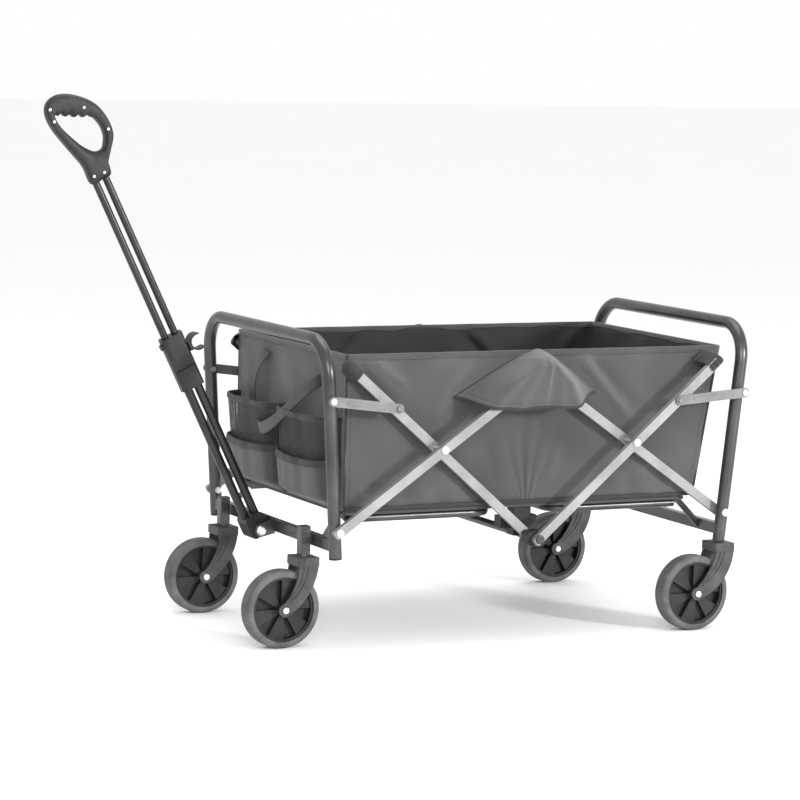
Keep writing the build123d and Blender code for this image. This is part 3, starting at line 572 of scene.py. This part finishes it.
bar_ends = {
    "front": ("front_frame", "front_falling_bar", 1, 0),
    "rear": ("rear_frame", "rear_rising_bar", -1, 1),
}
for end, (body, bar_name, way, corner) in bar_ends.items():
    for name, side in SIDES.items():
        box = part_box(f"{bar_name}_{name}")
        reach = max(abs(box[0].y), abs(box[1].y)) - WALL_Y + 0.0035
        end_x = box[corner].x + way * 0.009
        point = corner_cap(side, way, end_x, box[1].z - 0.009, reach)
        piece = cloth_sheet(f"{end}_cap_{name}", point, (0.038, 0.060), (40, 30), BINDING, body,
                            (0, side, 0.2))
        0.028 + 1.7 * reach
        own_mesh(piece)


# ---------------------------------------------------------------- front pockets

POCKET_OUT = 0.046


def pocket(y_low, y_high, z_low, z_high, tuck):
    """A bellows pocket: its plan is a flattened arch, and it tucks back to the wall at its foot."""
    def point(u, v):
        s = 2 * u - 1
        plan = (1 - np.abs(s) ** 5) ** 0.5
        foot = 1 - tuck * (1 - smooth(v / 0.30)) ** 1.6
        sag = 0.006 * np.sin(math.pi * u) * v * (1 if tuck else 0.4)
        gathers = (0.0016 * np.sin(s * 7 + 1) + 0.0007 * np.sin(s * 15 + 2)) * plan * (0.4 + 0.6 * v)
        x = FRONT_X - 0.0010 - plan * (POCKET_OUT * foot + gathers - 0.010 * (1 - v) * foot)
        y = y_low + u * (y_high - y_low)
        return x, y, z_low + v * (z_high - z_low) - sag
    return point


LOWER_Z = BASE_Z + 0.003
BAND_Z = BASE_Z + 0.092
MOUTH_Z = BASE_Z + 0.176
for name, (y_low, y_high) in {"near": (-0.243, -0.006), "far": (0.006, 0.243)}.items():
    width = y_high - y_low
    lower = pocket(y_low, y_high, LOWER_Z, BAND_Z, 0.86)
    upper = pocket(y_low, y_high, BAND_Z - 0.006, MOUTH_Z, 0.0)
    cup = cloth_sheet(f"pocket_{name}", lower, (width + 0.06, 0.11), (110, 50), POCKET_CLOTH, "front_frame",
                      (-1, 0, 0))
    net = cloth_sheet(f"pocket_net_{name}", upper, (width + 0.06, 0.095), (110, 36), MESH_CLOTH,
                      "front_frame", (-1, 0, 0), thickness=0.0010)
    band = bound_edge(f"pocket_band_{name}", rim_path(lower, 90, 0.985), 0.0022, 0.0070, (1, 0, 0), BINDING,
                      "front_frame")
    mouth = bound_edge(f"pocket_mouth_{name}", rim_path(upper, 90, 0.985), 0.0022, 0.0060, (1, 0, 0), BINDING,
                       "front_frame")


def strap(start, end, bow, width, lift):
    """A webbing strap between two points (y, z) of the front wall. In its middle it stands off by lift and
    sags by bow."""
    start, end = np.array(start), np.array(end)
    run = end - start
    across = np.array([-run[1], run[0]]) / np.hypot(*run)

    def point(u, v):
        arch = np.sin(math.pi * u)
        y = start[0] + u * run[0] + across[0] * (v - 0.5) * width
        z = start[1] + u * run[1] + across[1] * (v - 0.5) * width - bow * arch
        twist = 0.004 * np.sin(TAU * u) * (v - 0.5)
        return FRONT_X - 0.0030 - lift * arch ** 0.7 + twist, y, z
    return point


straps = {
    "tie": ((0.105, RIM_Z - 0.030), (0.150, BASE_Z + 0.150), 0.0, 0.028, 0.022),
    "loop": ((0.120, BASE_Z + 0.140), (-0.150, RIM_Z - 0.060), 0.052, 0.024, 0.050),
}
for name, (start, end, bow, width, lift) in straps.items():
    length = math.dist(start, end)
    piece = cloth_sheet(f"strap_{name}", strap(start, end, bow, width, lift), (length, width), (60, 8),
                        WEBBING, "front_frame", (-1, 0, 0), thickness=0.0020)


# ---------------------------------------------------------------- floor cloth

def floor_cloth(x_low, x_high, z):
    """Floor cloth over a stiff board: flat, with a faint quilting and tucked edges."""
    def point(u, v):
        x = x_low + u * (x_high - x_low)
        y = (v - 0.5) * 2 * (WALL_Y - 0.0095)
        quilt = 0.0005 * np.sin(x * 70 + 1) * np.sin(y * 60)
        edge = smooth(u * 20) * smooth((1 - u) * 20) * smooth(v * 24) * smooth((1 - v) * 24)
        return x, y, z + 0.0004 + (0.0006 + quilt) * edge
    return point


for end in ("front", "rear"):
    low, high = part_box(f"floor_board_{end}")
    width = high.x - low.x
    piece = cloth_sheet(f"floor_cloth_{end}", floor_cloth(low.x + 0.002, high.x - 0.002, high.z + 0.0006),
                        (width, 2 * WALL_Y), (70, 90), CLOTH, f"floor_{end}", (0, 0, 1), thickness=0.0010)
saddle_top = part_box("floor_saddles")[1].z
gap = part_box("floor_board_rear")[0].x
middle = cloth_sheet("floor_cloth_middle", floor_cloth(-gap + 0.002, gap - 0.002, saddle_top + 0.0012),
                     (2 * gap, 2 * WALL_Y), (40, 90), CLOTH, "middle_tube", (0, 0, 1), thickness=0.0010)
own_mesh(middle)


# ---------------------------------------------------------------- loop grip

joints = {joint["name"]: joint for joint in frame["joints"]}
PIVOT = np.array(joints["handle_tilt"]["pos_m"])
UP = np.array(joints["handle_slide"]["axis"])
ACROSS = np.array([UP[2], 0, -UP[0]])
GRIP_BASE = 0.766
GRIP_HALF = 0.0150
LOOP_STEPS = 320
SECTION_STEPS = 40
# The loop's outer and inner edge, and its screws: millimetres across and along the handle from its foot.
OUTLINE = [
    (21, 0), (24, 20), (41, 43), (58, 67), (61, 97), (53, 130), (35, 155), (8, 176),
    (-17, 183), (-38, 176), (-48, 156), (-47, 125), (-34, 77), (-22, 36), (-21, 0), (0, -2),
]
OPENING = [
    (22, 51), (30, 53), (36, 60), (42, 74), (42, 95), (33, 116), (14, 126), (-6, 136),
    (-24, 147), (-33, 149), (-34, 140), (-31, 124), (-21, 100), (-8, 75), (5, 59), (13, 53),
]
SCREWS = [(-39, 165), (-41, 141), (24, 140), (51, 82), (-13, 13), (9, 11)]


def closed_curve(points, steps):
    """A closed Catmull-Rom curve through the points, and each sample's place along the list of points."""
    p = np.array(points, float) / 1000
    t = np.linspace(0, len(p), steps, endpoint=False)
    i = t.astype(int)
    f = (t - i)[:, None]
    a, b, c, d = (p[(i + k) % len(p)] for k in (-1, 0, 1, 2))
    curve = 2 * b + (c - a) * f + (2 * a - 5 * b + 4 * c - d) * f ** 2 + (3 * b - a - 3 * c + d) * f ** 3
    return curve / 2, t


def on_handle(across, along, y):
    """Points of the grip, from their places across and along the handle and off its middle plane."""
    flat_place = PIVOT + ACROSS * across[..., None] + UP * (GRIP_BASE + along[..., None])
    return flat_place + np.array([0, 1, 0]) * y[..., None]


def loop_grip():
    """The loop's surface: a rounded section carried from the outer to the inner edge, all round the loop.
    The top of the opening has finger waves, and two grooves mark where the soft cover ends."""
    outer, place = closed_curve(OUTLINE, LOOP_STEPS)
    inner, place = closed_curve(OPENING, LOOP_STEPS)
    inward = inner - outer
    inward /= np.linalg.norm(inward, axis=1)[:, None]
    on_bar = smooth((place - 4.8) * 2) * smooth((8.9 - place) * 2)
    inner += inward * (0.0022 * np.cos((place - 5.0) * TAU * 1.25) * on_bar)[:, None]
    phase = np.linspace(0, TAU, SECTION_STEPS, endpoint=False)
    share = 0.5 - 0.5 * bulged(np.cos(phase), 0.72)
    plan = outer[:, None] + (inner - outer)[:, None] * share[:, None]
    groove = 0.0009 * gauss(np.minimum(np.abs(place - 4.75), np.abs(place - 9.2)), 0.09)
    thick = GRIP_HALF - 0.0006 - groove
    return on_handle(plan[..., 0], plan[..., 1], thick[:, None] * bulged(np.sin(phase), 0.62))


grip_points = loop_grip()
grip_faces = quads(LOOP_STEPS, SECTION_STEPS, tube=True, ring=True)
middle, normal = facing(grip_faces, grip_points)
if (middle * normal).sum() < 0:
    grip_faces = grip_faces[:, ::-1]
grip = add_mesh("loop_grip", grip_points, grip_faces.tolist(), GRIP, "handle_extension")
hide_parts("handle_grip")


def domes(name, centres, radius, height, material, body):
    """Round-headed screws on both faces of the grip: a quarter-round profile turned about each screw's axis,
    closed by a disc at its foot and one at its top."""
    lift = np.array([-0.6, 0.0, 0.35, 0.7, 1.05, 1.35])[:, None]
    turn = np.linspace(0, TAU, 20, endpoint=False)
    ring = radius * np.cos(np.maximum(lift, 0))
    shell = quads(len(lift), len(turn), tube=True)
    discs = np.array([range(20), range(119, 99, -1)])
    points, faces = [], []
    for across, along in centres:
        for side in (-1, 1):
            first = 120 * len(points)
            stand = side * (GRIP_HALF - 0.0012 + height * np.sin(lift)) + 0 * turn
            wide, tall = across / 1000 + ring * np.cos(turn), along / 1000 + ring * np.sin(turn)
            points.append(on_handle(wide, tall, stand))
            faces += (first + shell[:, ::side]).tolist() + (first + discs[:, ::side]).tolist()
    return add_mesh(name, np.array(points), faces, material, body)


screws = domes("grip_screws", SCREWS, 0.0032, 0.0018, ZINC, "handle_extension")


# ---------------------------------------------------------------- studio

AIM = Vector((0, 0, 0.35))


def area_light(name, place, size, power):
    light = bpy.data.lights.new(name, "AREA")
    light.shape = "SQUARE"
    light.size = size
    light.energy = power
    lamp = bpy.data.objects.new(name, light)
    bpy.context.scene.collection.objects.link(lamp)
    lamp.location = place
    lamp.rotation_euler = (AIM - Vector(place)).to_track_quat("-Z", "Y").to_euler()


area_light("key", (3.0, -5.2, 1.9), 0.7, 290)
area_light("left_box", (-2.2, -4.6, 2.4), 2.0, 120)
area_light("top", (0.2, 0.2, 3.4), 2.6, 60)

floor_mesh = bpy.data.meshes.new("studio_floor")
FAR = 40.0
floor_mesh.from_pydata([(-FAR, -FAR, 0), (FAR, -FAR, 0), (FAR, FAR, 0), (-FAR, FAR, 0)], [], [(0, 1, 2, 3)])
floor = bpy.data.objects.new("studio_floor", floor_mesh)
bpy.context.scene.collection.objects.link(floor)
floor_paint = Paint("studio_floor", roughness=0.7)
floor_paint.feed("Base Color", floor_paint.tint(floor_paint.noise(0.8), grey(0.93), grey(0.95)))
floor_mesh.materials.append(floor_paint.material)

world = bpy.data.worlds.new("studio")
bpy.context.scene.world = world
world.use_nodes = True
world.node_tree.nodes["Background"].inputs["Color"].default_value = (1.0, 1.0, 1.0, 1)
world.node_tree.nodes["Background"].inputs["Strength"].default_value = 1.0
bpy.context.scene.view_settings.view_transform = "Standard"

PLACE = Vector((-2.9802, -5.7564, 1.1890))
YAW = math.radians(26.142)
PITCH = math.radians(6.608)
ROLL = math.radians(1.378)
view = bpy.data.cameras.new("view")
view.lens = 144.6
view.sensor_width = 36
camera = bpy.data.objects.new("view", view)
bpy.context.scene.collection.objects.link(camera)
level = Matrix.Rotation(-YAW, 4, "Z") @ Matrix.Rotation(math.pi / 2 - PITCH, 4, "X")
camera.matrix_world = Matrix.Translation(PLACE) @ level @ Matrix.Rotation(ROLL, 4, "Z")
bpy.context.scene.camera = camera
